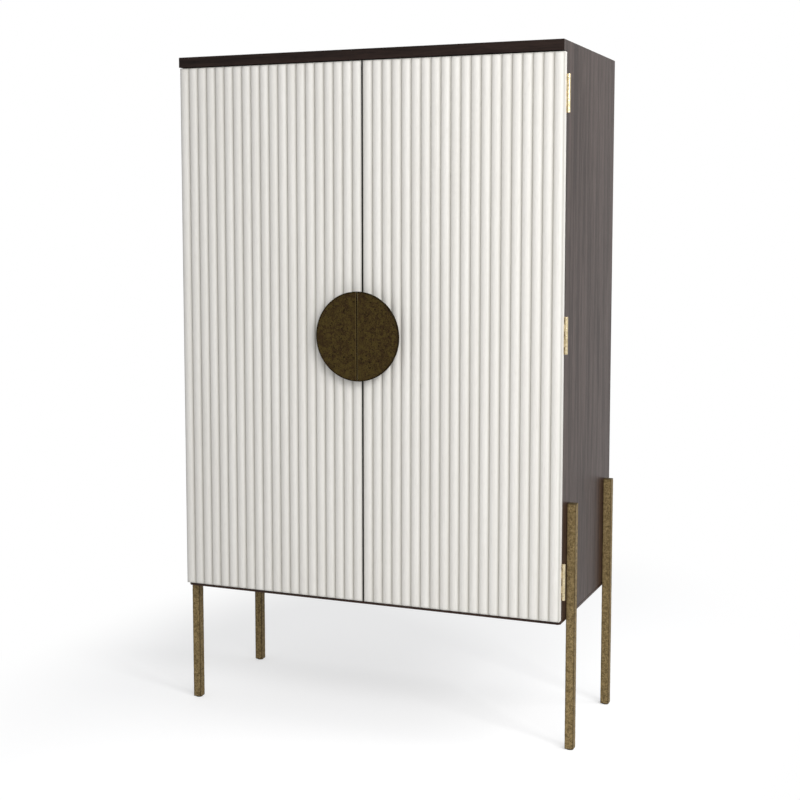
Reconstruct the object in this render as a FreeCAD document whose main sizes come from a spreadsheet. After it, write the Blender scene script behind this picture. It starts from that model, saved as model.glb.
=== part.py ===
import FreeCAD, Part
import math
import os
import re

import Sketcher

# Bar armoire: a dark wood case on four bar legs, closed by two reeded doors that share a round handle.
# Millimetres, +Z up, doors facing -Y. The origin is on the floor under the middle of the whole object.

Vector = FreeCAD.Vector

# Driving sizes
SIZES = {
    # Case: depth is over the closed doors, height is from the base board's underside to the top
    "cabinet_width": 1016,
    "cabinet_depth": 489,
    "case_height": 1377,
    "floor_clearance": 325,
    "top_thickness": 25.4,
    "top_bevel": 0.8,
    "base_thickness": 8,
    "base_bevel": 2.5,
    "base_setback": 15,
    "base_corner": 5,
    "floor_thickness": 22,
    "side_thickness": 22,
    "back_thickness": 9,
    "back_lap": 10,
    # Shelves, and the cleats under the loose ones
    "shelf_thickness": 19,
    "shelf_setback": 20,
    "shelf_play": 0.5,
    "cleat_width": 12,
    "cleat_height": 20,
    # Bottle rack of halved boards, left of the partition
    "rack_columns": 4,
    "rack_rows": 4,
    "rack_board": 12,
    "rack_back_space": 110,
    "cell_height": 110,
    # Stemware rails under the top
    "rail_count": 5,
    "rail_gap": 34,
    "rail_back_space": 110,
    "rail_web_width": 12,
    "rail_web_height": 20,
    "rail_flange_width": 56,
    "rail_flange_thickness": 8,
    # Doors: a flat core with a reeded facing
    "door_gap": 3,
    "door_top_gap": 2,
    "door_drop": 9,
    "door_back_gap": 1,
    "core_thickness": 17,
    "core_bevel": 1,
    "facing_web": 2,
    "reed_count": 20,
    "reed_depth": 6,
    # Butt hinges: the inset is from a door's end to the hinge's middle, the rise is the middle hinge's
    "hinge_height": 89,
    "hinge_inset": 94,
    "hinge_rise": 14,
    "hinge_offset": 5,
    "barrel_diameter": 8,
    "hinge_pin_diameter": 4,
    "knuckle_count": 5,
    "knuckle_gap": 0.3,
    "leaf_width": 18,
    "leaf_thickness": 2,
    "leaf_play": 0.1,
    # Handle: half a disc on each door, the projection is from the reeds to its front
    "handle_diameter": 221,
    "handle_thickness": 6,
    "handle_projection": 30,
    "handle_gap": 3,
    "handle_bevel": 1.2,
    "post_width": 12,
    "post_inset": 45,
    "post_rise": 55,
    # Magnetic catches under the top, strike plates on the doors
    "catch_inset": 70,
    "catch_width": 46,
    "catch_depth": 13,
    "catch_height": 20,
    "pole_width": 30,
    "pole_thickness": 3,
    "pole_reach": 1,
    "strike_thickness": 1.5,
    "strike_height": 12,
    "strike_gap": 0.3,
    # Legs on the outside of the case: the lap is how far they reach up past the base board's underside
    "leg_width": 22,
    "leg_lap": 285,
    "leg_bevel": 1,
    "leg_front_inset": 67,
    "leg_rear_inset": 44,
    "glide_diameter": 18,
    "glide_height": 2,
    # Clearance of a piece in its hole or slot, and how far a cut runs past a face
    "fit_play": 0.05,
    "cut_margin": 1,
}

# Places and lengths that follow from the driving sizes
PLACES = {
    "case_x": "cabinet_width / 2",
    "inner_x": "case_x - side_thickness",
    "partition_x": "shelf_thickness / 2",
    "front_y": "(handle_projection - cabinet_depth) / 2",
    "back_y": "front_y + cabinet_depth",
    "facing_thickness": "reed_depth + facing_web",
    "core_front_y": "front_y + facing_thickness",
    "door_back_y": "core_front_y + core_thickness",
    "case_front_y": "door_back_y + door_back_gap",
    "case_depth": "back_y - case_front_y",
    "inside_front_y": "case_front_y + shelf_setback",
    "inside_back_y": "back_y - back_thickness",
    "inside_depth": "inside_back_y - inside_front_y",
    "side_bottom_z": "floor_clearance + base_thickness",
    "floor_top_z": "side_bottom_z + floor_thickness",
    "case_top_z": "floor_clearance + case_height",
    "top_under_z": "case_top_z - top_thickness",
    "side_height": "top_under_z - side_bottom_z",
    "lower_height": "rack_rows * cell_height + (rack_rows - 1) * rack_board",
    "deck_under_z": "floor_top_z + lower_height",
    "deck_top_z": "deck_under_z + shelf_thickness",
    "upper_shelf_z": "(deck_top_z + top_under_z - shelf_thickness) / 2",
    "lower_shelf_z": "(floor_top_z + deck_under_z - shelf_thickness) / 2",
    "rack_width": "inner_x - partition_x",
    "rack_depth": "inside_depth - rack_back_space",
    "cell_width": "(rack_width - (rack_columns - 1) * rack_board) / rack_columns",
    "rail_length": "inside_depth - rail_back_space",
    "rail_web_z": "top_under_z - rail_web_height",
    "rail_spacing": "rail_flange_width + rail_gap",
    "door_x": "door_gap / 2",
    "door_width": "case_x - door_x",
    "door_bottom_z": "floor_clearance + door_drop",
    "door_top_z": "top_under_z - door_top_gap",
    "door_height": "door_top_z - door_bottom_z",
    "reed_pitch": "door_width / reed_count",
    "reed_radius": "(reed_pitch ^ 2 / 4 + reed_depth ^ 2) / (2 * reed_depth)",
    "handle_z": "(door_top_z + door_bottom_z) / 2",
    "handle_back_y": "front_y - handle_projection + handle_thickness",
    "handle_half_height": "sqrt((handle_diameter / 2) ^ 2 - (handle_gap / 2) ^ 2)",
    "post_x": "door_x + post_inset",
    "post_length": "core_front_y - handle_back_y",
    "hinge_x": "case_x + hinge_offset",
    "hinge_y": "door_back_y + door_back_gap / 2",
    "knuckle_pitch": "hinge_height / knuckle_count",
    "knuckle_height": "knuckle_pitch - knuckle_gap",
    "leaf_x": "case_x - leaf_width",
    "tongue_length": "hinge_offset - (barrel_diameter + hinge_pin_diameter) / 4",
    "catch_y": "door_back_y + strike_gap + pole_reach",
    "catch_z": "top_under_z - catch_height",
    "strike_x": "catch_inset - pole_width / 2",
    "strike_y": "door_back_y - strike_thickness",
    "strike_z": "top_under_z - (catch_height + strike_height) / 2",
    "leg_top_z": "floor_clearance + leg_lap",
    "leg_height": "leg_top_z - glide_height",
    "leg_front_y": "front_y + leg_front_inset",
    "leg_rear_y": "back_y - leg_rear_inset - leg_width",
}

doc = FreeCAD.newDocument("bar_armoire")


def in_sizes(match):
    """Point a size's name at its cell."""
    word = match.group(0)
    return f"Sizes.{word}" if word in SIZES else word


def in_sheets(match):
    """Point a size's or a place's name at its cell."""
    word = match.group(0)
    return f"Places.{word}" if word in PLACES else in_sizes(match)


def sheet_of(name, cells):
    """Make a sheet with a name and a value on each row."""
    sheet = doc.addObject("Spreadsheet::Sheet", name)
    for row, (alias, content) in enumerate(cells.items(), 1):
        sheet.set(f"A{row}", alias)
        sheet.set(f"B{row}", content)
        sheet.setAlias(f"B{row}", alias)
    doc.recompute()
    return sheet


WORD = re.compile(r"[a-z_]+")
sizes = sheet_of("Sizes", {alias: str(value) for alias, value in SIZES.items()})
places = sheet_of("Places", {alias: "=" + WORD.sub(in_sizes, text) for alias, text in PLACES.items()})

pieces = []
cuts = []


def formula(text):
    """Write an expression of named sizes and places in terms of their cells."""
    return WORD.sub(in_sheets, text)


def number(text):
    """Work out an expression of named sizes and places."""
    return float(sizes.evalExpression(formula(text)))


def bind(obj, **properties):
    """Bind an object's sizes to expressions."""
    for name, text in properties.items():
        obj.setExpression(name, formula(text))


def place(obj, corner):
    """Bind an object's position to three expressions."""
    for axis, text in zip("xyz", corner):
        obj.setExpression(f"Placement.Base.{axis}", formula(text))


def piece(obj):
    """Count a finished object as one of the sub-parts."""
    pieces.append(obj)
    return obj


def mirrored(source, label):
    """The left-hand twin of a right-hand object."""
    twin = doc.addObject("Part::Mirroring", label)
    twin.Source = source
    twin.Normal = Vector(1, 0, 0)
    return twin


def pair(right):
    """Count a right-hand object and its left-hand twin as sub-parts."""
    piece(right)
    return piece(mirrored(right, right.Label.replace("_right", "_left")))


# Solids

def box(name, corner, size):
    """A block from its low corner and its three sizes."""
    solid = doc.addObject("Part::Box", name)
    bind(solid, Length=size[0], Width=size[1], Height=size[2])
    place(solid, corner)
    return solid


def rod(name, foot, radius, height):
    """An upright round bar that stands on a point."""
    solid = doc.addObject("Part::Cylinder", name)
    bind(solid, Radius=radius, Height=height)
    place(solid, foot)
    return solid


def group(name, members):
    """Separate solids as one object."""
    compound = doc.addObject("Part::Compound", name)
    compound.Links = members
    return compound


def fuse(name, members):
    """Several solids joined into one."""
    joined = doc.addObject("Part::MultiFuse", name)
    joined.Shapes = members
    return joined


def cut(name, base, tools):
    """A solid with others taken out of it."""
    result = doc.addObject("Part::Cut", name)
    result.Base = base
    result.Tool = group(name + "_cuts", tools)
    cuts.append((result, base))
    return result


# Sketched bodies

def body_at(name, corner):
    """An empty body at a point."""
    body = doc.addObject("PartDesign::Body", name)
    place(body, corner)
    return body


def origin_part(body, role):
    """One of a body's own planes or axes."""
    return next(feature for feature in body.Origin.OriginFeatures if feature.Role == role)


def arc_between(start, end, radius):
    """The smaller arc that turns left from one point to another."""
    chord = end - start
    rise = math.sqrt(radius ** 2 - chord.Length ** 2 / 4)
    centre = (start + end) / 2 + Vector(-chord.y, chord.x, 0).normalize() * rise
    angles = [math.atan2(point.y - centre.y, point.x - centre.x) for point in (start, end)]
    return Part.ArcOfCircle(Part.Circle(centre, Vector(0, 0, 1), radius), *angles)


def outline(body, name, plane, corners):
    """A closed sketch: each corner is (x, y), or (x, y, radius) where an arc that turns left leaves it."""
    sketch = body.newObject("Sketcher::SketchObject", name)
    sketch.AttachmentSupport = [(origin_part(body, plane), "")]
    sketch.MapMode = "FlatFace"
    points = [Vector(number(corner[0]), number(corner[1]), 0) for corner in corners]
    for corner, start, end in zip(corners, points, points[1:] + points[:1]):
        bend = [number(radius) for radius in corner[2:]]
        sketch.addGeometry(arc_between(start, end, *bend) if bend else Part.LineSegment(start, end))
    for index, corner in enumerate(corners):
        following = (index + 1) % len(corners)
        sketch.addConstraint(Sketcher.Constraint("Coincident", index, 2, following, 1))
        for kind, text, value in zip(("DistanceX", "DistanceY"), corner, points[index]):
            held = sketch.addConstraint(Sketcher.Constraint(kind, -1, 1, index, 1, value))
            sketch.setExpression(f"Constraints[{held}]", formula(text))
        for radius in corner[2:]:
            held = sketch.addConstraint(Sketcher.Constraint("Radius", index, number(radius)))
            sketch.setExpression(f"Constraints[{held}]", formula(radius))
    return sketch


def rectangle(body, name, plane, width, height):
    """A rectangle with a corner on the body's own origin."""
    return outline(body, name, plane, [("0", "0"), (width, "0"), (width, height), ("0", height)])


def pad(body, sketch, length):
    """A sketch drawn out along its plane's normal."""
    feature = body.newObject("PartDesign::Pad", sketch.Name + "_pad")
    feature.Profile = sketch
    bind(feature, Length=length)
    doc.recompute()
    return feature


def bevel(body, base, direction, size):
    """Chamfer the edges of the face that lies furthest in a direction."""
    faces = base.Shape.Faces
    furthest = max(range(len(faces)), key=lambda index: faces[index].CenterOfMass.dot(direction))
    feature = body.newObject("PartDesign::Chamfer", f"{body.Name}_bevel")
    feature.Base = (base, [f"Face{furthest + 1}"])
    bind(feature, Size=size)
    cuts.append((feature, base))
    return feature


# Case

def top_panel():
    """The top, over the doors as well as the case, with its upper arris eased."""
    body = body_at("top_panel", ("-case_x", "front_y", "top_under_z"))
    plan = rectangle(body, "top_outline", "XY_Plane", "cabinet_width", "cabinet_depth")
    slab = pad(body, plan, "top_thickness")
    bevel(body, slab, Vector(0, 0, 1), "top_bevel")
    piece(body)


def base_board():
    """The board under the sides and the doors, with its front corners off and a bevel round its upper edge."""
    body = body_at("base_board", ("-case_x", "front_y + base_setback", "floor_clearance"))
    depth = "cabinet_depth - base_setback"
    plan = outline(body, "base_outline", "XY_Plane", [
        ("base_corner", "0"), ("cabinet_width - base_corner", "0"), ("cabinet_width", "base_corner"),
        ("cabinet_width", depth), ("0", depth), ("0", "base_corner")])
    slab = pad(body, plan, "base_thickness")
    bevel(body, slab, Vector(0, 0, 1), "base_bevel")
    piece(body)


def side_panel():
    """A side with a rebate for the back, let in for its hinges."""
    body = body_at("side_panel_blank", ("inner_x", "case_front_y", "side_bottom_z"))
    rebate = "case_depth - back_thickness"
    corners = [("0", "0"), ("side_thickness", "0"), ("side_thickness", "case_depth"),
               ("back_lap", "case_depth"), ("back_lap", rebate), ("0", rebate)]
    pad(body, outline(body, "side_outline", "XY_Plane", corners), "side_height")
    pair(cut("side_panel_right", body, [leaf_mortise(level, "frame") for level in HINGES]))


def inner_panels():
    """Back, floor and fixed bar deck."""
    piece(box("back_panel", ("-inner_x - back_lap", "inside_back_y", "side_bottom_z"),
              ("2 * (inner_x + back_lap)", "back_thickness", "side_height")))
    piece(box("floor_panel", ("-inner_x", "case_front_y", "side_bottom_z"),
              ("2 * inner_x", "inside_back_y - case_front_y", "floor_thickness")))
    piece(box("bar_deck", ("-inner_x", "inside_front_y", "deck_under_z"),
              ("2 * inner_x", "inside_depth", "shelf_thickness")))


# Shelves and their cleats

def cleat(name, x, shelf):
    """A strip on a wall under the end of a shelf."""
    return box(name, (x, "inside_front_y", f"{shelf} - cleat_height"),
               ("cleat_width", "inside_depth", "cleat_height"))


def shelves():
    """A full-width shelf over the deck, and the partition and a half-width shelf under it."""
    piece(box("upper_shelf", ("-inner_x + shelf_play", "inside_front_y", "upper_shelf_z"),
              ("2 * (inner_x - shelf_play)", "inside_depth - shelf_play", "shelf_thickness")))
    piece(box("lower_shelf", ("partition_x + shelf_play", "inside_front_y", "lower_shelf_z"),
              ("rack_width - 2 * shelf_play", "inside_depth - shelf_play", "shelf_thickness")))
    piece(box("centre_partition", ("-partition_x", "inside_front_y", "floor_top_z"),
              ("shelf_thickness", "inside_depth", "lower_height")))
    piece(group("shelf_cleats", [
        cleat("upper_cleat_right", "inner_x - cleat_width", "upper_shelf_z"),
        cleat("upper_cleat_left", "-inner_x", "upper_shelf_z"),
        cleat("lower_cleat_right", "inner_x - cleat_width", "lower_shelf_z"),
        cleat("lower_cleat_left", "partition_x", "lower_shelf_z")]))


# Bottle rack and stemware rails

def step(count, cell):
    """Where a rack's board starts, past a number of cells."""
    return f"{count} * {cell} + {count - 1} * rack_board"


def bottle_rack():
    """Uprights and tiers that slot into one another, each halved where they cross."""
    columns = range(1, SIZES["rack_columns"])
    rows = range(1, SIZES["rack_rows"])
    slot = "rack_board + 2 * fit_play"
    through = "rack_board + 2 * cut_margin"
    half = "rack_depth / 2 + fit_play + cut_margin"
    for column in columns:
        x = f"-inner_x + {step(column, 'cell_width')}"
        board = box(f"rack_upright_{column}_blank", (x, "inside_front_y", "floor_top_z"),
                    ("rack_board", "rack_depth", "lower_height"))
        slots = [box(f"rack_upright_{column}_slot_{row}",
                     (f"{x} - cut_margin", "inside_front_y - cut_margin",
                      f"floor_top_z + {step(row, 'cell_height')} - fit_play"),
                     (through, half, slot)) for row in rows]
        piece(cut(f"rack_upright_{column}", board, slots))
    for row in rows:
        z = f"floor_top_z + {step(row, 'cell_height')}"
        board = box(f"rack_tier_{row}_blank", ("-inner_x", "inside_front_y", z),
                    ("rack_width", "rack_depth", "rack_board"))
        slots = [box(f"rack_tier_{row}_slot_{column}",
                     (f"-inner_x + {step(column, 'cell_width')} - fit_play",
                      "inside_front_y + rack_depth / 2 - fit_play", f"{z} - cut_margin"),
                     (slot, half, through)) for column in columns]
        piece(cut(f"rack_tier_{row}", board, slots))


def stemware_rack():
    """T-shaped rails that hold glasses by the foot."""
    rails = []
    for index in range(SIZES["rail_count"]):
        x = f"({index} - (rail_count - 1) / 2) * rail_spacing"
        web = box(f"rail_{index}_web", (f"{x} - rail_web_width / 2", "inside_front_y", "rail_web_z"),
                  ("rail_web_width", "rail_length", "rail_web_height"))
        flange = box(f"rail_{index}_flange",
                     (f"{x} - rail_flange_width / 2", "inside_front_y", "rail_web_z - rail_flange_thickness"),
                     ("rail_flange_width", "rail_length", "rail_flange_thickness"))
        rails.append(fuse(f"rail_{index}", [web, flange]))
    piece(group("stemware_rack", rails))


# Hinges

HINGES = {
    "top": "door_top_z - hinge_inset",
    "middle": "handle_z + hinge_rise",
    "bottom": "door_bottom_z + hinge_inset",
}
LEAVES = {
    "frame": {"face": "case_front_y", "plate": "case_front_y", "first": 0},
    "door": {"face": "door_back_y", "plate": "door_back_y - leaf_thickness", "first": 1},
}


def leaf_mortise(level, kind):
    """The recess that a leaf lies in, open to the outer side."""
    low = "leaf_thickness" if kind == "door" else "cut_margin"
    bottom = f"{HINGES[level]} - hinge_height / 2 - leaf_play"
    return box(f"{level}_{kind}_mortise", ("leaf_x - leaf_play", f"{LEAVES[kind]['face']} - {low}", bottom),
               ("leaf_width + leaf_play + cut_margin", "leaf_thickness + cut_margin",
                "hinge_height + 2 * leaf_play"))


def hinge_leaf(level, kind):
    """A plate with every second knuckle, on tongues that leave room for the other leaf's knuckles.

    The pin is fixed in the frame's leaf and turns in the bores of the door's.
    """
    name = f"{level}_hinge_{kind}_leaf_right"
    bottom = f"{HINGES[level]} - hinge_height / 2"
    plate_y = LEAVES[kind]["plate"]
    solids = [box(f"{name}_plate", ("leaf_x", plate_y, bottom),
                  ("leaf_width", "leaf_thickness", "hinge_height"))]
    for index in range(LEAVES[kind]["first"], SIZES["knuckle_count"], 2):
        z = f"{bottom} + {index} * knuckle_pitch + knuckle_gap / 2"
        solids.append(box(f"{name}_tongue_{index}", ("case_x", plate_y, z),
                          ("tongue_length", "leaf_thickness", "knuckle_height")))
        solids.append(rod(f"{name}_knuckle_{index}", ("hinge_x", "hinge_y", z),
                          "barrel_diameter / 2", "knuckle_height"))
    if kind == "frame":
        pin = rod(f"{name}_pin", ("hinge_x", "hinge_y", f"{bottom} + knuckle_pitch / 2"),
                  "hinge_pin_diameter / 2", "hinge_height - knuckle_pitch")
        pair(fuse(name, [*solids, pin]))
    else:
        bore = rod(f"{name}_bore", ("hinge_x", "hinge_y", bottom),
                   "hinge_pin_diameter / 2 + fit_play", "hinge_height")
        pair(cut(name, fuse(f"{name}_blank", solids), [bore]))


def hinges():
    """Both leaves of every hinge."""
    for level in HINGES:
        for kind in LEAVES:
            hinge_leaf(level, kind)


# Doors

def handle_posts(name, front, length, play="0"):
    """A handle's two square posts from the core to a distance before it, or with play their holes."""
    half = f"(post_width / 2 + {play})"
    width = f"post_width + 2 * {play}"
    return [box(f"{name}_{end}", (f"post_x - {half}", front, f"handle_z {side} post_rise - {half}"),
                (width, length, width)) for end, side in (("upper", "+"), ("lower", "-"))]


def door_core():
    """The flat panel of a door, let in for its hinges and its strike plate."""
    body = body_at("door_core_blank", ("door_x", "door_back_y", "door_bottom_z"))
    front = rectangle(body, "core_outline", "XZ_Plane", "door_width", "door_height")
    panel = pad(body, front, "core_thickness")
    bevel(body, panel, Vector(0, 1, 0), "core_bevel")
    recess = box("strike_recess", ("strike_x - fit_play", "strike_y", "strike_z - fit_play"),
                 ("pole_width + 2 * fit_play", "strike_thickness + cut_margin",
                  "strike_height + 2 * fit_play"))
    mortises = [leaf_mortise(level, "door") for level in HINGES]
    pair(cut("door_core_right", body, [*mortises, recess]))


def reeded_face():
    """Round reeds side by side, cut through for the handle's posts."""
    body = body_at("reeded_face_blank", ("door_x", "core_front_y", "door_bottom_z"))
    reed = outline(body, "reed_outline", "XY_Plane", [
        ("0", "0"), ("0", "-facing_web", "reed_radius"),
        ("reed_pitch", "-facing_web"), ("reed_pitch", "0")])
    first = pad(body, reed, "door_height")
    reeds = body.newObject("PartDesign::LinearPattern", "reeds")
    reeds.Originals = [first]
    reeds.Direction = (origin_part(body, "X_Axis"), [""])
    bind(reeds, Length="door_width - reed_pitch", Occurrences="reed_count")
    body.Tip = reeds
    holes = handle_posts("post_hole", "front_y - cut_margin", "facing_thickness + 2 * cut_margin", "fit_play")
    pair(cut("reeded_face_right", body, holes))


def handle():
    """Half a disc on two posts that stand on the door's core."""
    body = body_at("handle_right", ("0", "handle_back_y", "handle_z"))
    edge = "handle_gap / 2"
    half = outline(body, "handle_outline", "XZ_Plane",
                   [(edge, "-handle_half_height", "handle_diameter / 2"), (edge, "handle_half_height")])
    plate = pad(body, half, "handle_thickness")
    bevel(body, plate, Vector(0, -1, 0), "handle_bevel")
    pair(body)
    pair(group("handle_posts_right", handle_posts("handle_post", "handle_back_y", "post_length")))


def catch():
    """A magnetic catch with two pole plates, and the strike plate that they meet."""
    case = box("catch_case", ("catch_inset - catch_width / 2", "catch_y", "catch_z"),
               ("catch_width", "catch_depth", "catch_height"))
    middle = "catch_z + (catch_height - pole_thickness) / 2"
    poles = [box(f"catch_pole_{index}",
                 ("strike_x", "catch_y - pole_reach", f"{middle} + {side} * pole_thickness"),
                 ("pole_width", "pole_reach + pole_thickness", "pole_thickness"))
             for index, side in enumerate((-1, 1))]
    pair(fuse("catch_right", [case, *poles]))
    pair(box("strike_plate_right", ("strike_x", "strike_y", "strike_z"),
             ("pole_width", "strike_thickness", "strike_height")))


# Legs

def legs():
    """Square bars on the outside of the sides, each with a round glide under its foot."""
    glides = []
    for end in ("front", "rear"):
        name = f"leg_{end}_right"
        body = body_at(name, ("case_x", f"leg_{end}_y", "glide_height"))
        plan = rectangle(body, f"leg_{end}_plan", "XY_Plane", "leg_width", "leg_width")
        bar = pad(body, plan, "leg_height")
        eased = body.newObject("PartDesign::Chamfer", f"{name}_bevel")
        eased.Base = (bar, [""])
        eased.UseAllEdges = True
        bind(eased, Size="leg_bevel")
        cuts.append((eased, bar))
        pair(body)
        middle = ("case_x + leg_width / 2", f"leg_{end}_y + leg_width / 2")
        glide = rod(f"glide_{end}_right", (*middle, "0"), "glide_diameter / 2", "glide_height")
        glides += [glide, mirrored(glide, f"glide_{end}_left")]
    piece(group("foot_glides", glides))


def check():
    """Stop if a feature failed, a cut removed nothing or a sub-part is no sound solid."""
    for obj in doc.Objects:
        if {"Invalid", "Error"} & set(obj.State):
            raise RuntimeError(f"{obj.Name} failed: {obj.State}")
    for result, base in cuts:
        if result.Shape.Volume >= base.Shape.Volume:
            raise RuntimeError(f"{result.Name} removed nothing")
    for obj in pieces:
        if obj.Shape.isNull() or not obj.Shape.isValid() or not obj.Shape.Solids:
            raise RuntimeError(f"{obj.Label} is not a sound solid")


def main():
    """Build every sub-part, check them and write their files."""
    top_panel()
    base_board()
    inner_panels()
    shelves()
    bottle_rack()
    stemware_rack()
    hinges()
    side_panel()
    door_core()
    reeded_face()
    handle()
    catch()
    legs()
    doc.recompute()
    check()
    os.makedirs("parts", exist_ok=True)
    for obj in pieces:
        obj.Shape.exportStep(f"parts/{obj.Label}.step")
    print(len(pieces), "sub-parts,", sum(len(obj.Shape.Solids) for obj in pieces), "solids")


main()
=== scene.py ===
"""Finishes, reeded fronts, fittings and studio of a two-door bar armoire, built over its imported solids."""

from math import acos, pi, radians

import bpy
import numpy as np
from bpy.props import FloatProperty, FloatVectorProperty, IntProperty, PointerProperty
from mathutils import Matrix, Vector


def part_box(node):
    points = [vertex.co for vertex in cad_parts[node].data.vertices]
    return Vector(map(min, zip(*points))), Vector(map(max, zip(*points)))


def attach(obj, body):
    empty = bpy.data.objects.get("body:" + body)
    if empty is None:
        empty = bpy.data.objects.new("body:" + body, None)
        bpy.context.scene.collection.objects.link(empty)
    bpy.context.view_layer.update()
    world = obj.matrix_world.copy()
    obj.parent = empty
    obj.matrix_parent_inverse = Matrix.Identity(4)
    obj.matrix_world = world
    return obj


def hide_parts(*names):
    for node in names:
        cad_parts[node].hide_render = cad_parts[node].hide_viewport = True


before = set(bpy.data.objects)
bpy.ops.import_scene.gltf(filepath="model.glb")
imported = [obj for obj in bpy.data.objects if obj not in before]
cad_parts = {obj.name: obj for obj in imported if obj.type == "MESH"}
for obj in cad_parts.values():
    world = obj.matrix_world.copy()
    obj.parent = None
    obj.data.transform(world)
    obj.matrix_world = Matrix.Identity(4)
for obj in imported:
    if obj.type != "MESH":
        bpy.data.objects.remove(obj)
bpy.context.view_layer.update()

bl_info = {
    "name": "Bar armoire",
    "version": (1, 0, 0),
    "blender": (4, 5, 0),
    "location": "View3D > Sidebar > Armoire",
    "description": "Finishes, reeded fronts, fittings and studio of a two-door bar armoire",
    "category": "Add Mesh",
}

SIDES = {"right": 1, "left": -1}
HINGES = ("top", "middle", "bottom")
# Which way the grain runs on each board.
TOP_GRAIN = {"top_panel": "x"}
SIDE_GRAIN = {"side_panel_right": "z", "side_panel_left": "z", "base_board": "x"}
INNER_GRAIN = {
    "back_panel": "z", "floor_panel": "x", "bar_deck": "x", "upper_shelf": "x", "lower_shelf": "x",
    "centre_partition": "z", "shelf_cleats": "y", "stemware_rack": "y",
    "rack_upright_1": "z", "rack_upright_2": "z", "rack_upright_3": "z",
    "rack_tier_1": "x", "rack_tier_2": "x", "rack_tier_3": "x",
}
# Seeds of the random draws: the unevenness of handles and legs, and the turns of the hinge screws.
HANDLE_SEED, LEG_SEED, SCREW_SEED = 20, 40, 5
# Points on the arc and along the straight edge of a handle plate's outline.
ARC_POINTS, CHORD_POINTS = 150, 70
# Faces that meet at a greater angle than this show a sharp edge between them.
SHARP_ANGLE = radians(38)
# Width of the camera's sensor in millimetres.
SENSOR_WIDTH = 36.0


# ---------------------------------------------------------------- what a user may change

def linear(*channels):
    """A colour given as 0 to 255 a channel, turned into the linear values that shaders take."""
    return tuple(((c / 255 + 0.055) / 1.055) ** 2.4 if c > 10 else c / 3294.6 for c in channels)


def length(name, text, value):
    """A length in metres."""
    return FloatProperty(name=name, description=text, default=value, min=0, precision=5, unit="LENGTH")


def colour(name, text, *channels):
    """A colour given as 0 to 255 a channel."""
    return FloatVectorProperty(name=name, description=text, default=linear(*channels), size=3, min=0, max=1,
                               subtype="COLOR")


def wattage(name, text, value):
    """The power of a lamp."""
    return FloatProperty(name=name, description=text, default=value, min=0, unit="POWER")


def spot(name, text, *place):
    """A point of the shared frame."""
    return FloatVectorProperty(name=name, description=text, default=place, size=3, subtype="XYZ",
                               unit="LENGTH")


def angle(name, text, degrees):
    """An angle given in degrees."""
    return FloatProperty(name=name, description=text, default=radians(degrees), subtype="ANGLE")


class ArmoireSizes(bpy.types.PropertyGroup):
    """Sizes of the pieces that are shaped here."""
    reeds: IntProperty(name="Reeds", description="Reeds across one door", default=20, min=1)
    reed_depth: length("Reed depth", "From the groove between two reeds to their crowns", 0.006)
    reed_roll: length("Reed end", "Length over which a reed's end rolls back to the door", 0.008)
    leg_edge: length("Leg edge", "Radius of a leg's long edges and ends", 0.0014)
    leg_relief: length("Leg relief", "Depth of the unevenness of a leg's cast skin", 0.0003)
    handle_edge: length("Handle edge", "Radius of a handle plate's rim", 0.0012)
    handle_relief: length("Handle relief", "Depth of the unevenness of a handle plate's front", 0.0004)
    handle_slit: length("Handle slit", "Between the straight edges of the two handle plates", 0.0019)
    screw_head: length("Screw head", "Radius of a hinge screw's head", 0.0037)
    screw_inset: length("Screw inset", "From the outside of a hinge barrel to its line of screws", 0.018)
    screw_spacing: length("Screw spacing", "Between the screws of one hinge leaf", 0.0295)
    bolt_head: length("Bolt head", "Radius of a handle bolt's head behind the door", 0.007)
    cap: length("Bolt cap", "Radius of the caps over the leg bolts", 0.008)
    cap_low: length("Lower cap", "Height of the lower leg bolt", 0.385)
    cap_high: length("Upper cap", "Height of the upper leg bolt", 0.55)


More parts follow.
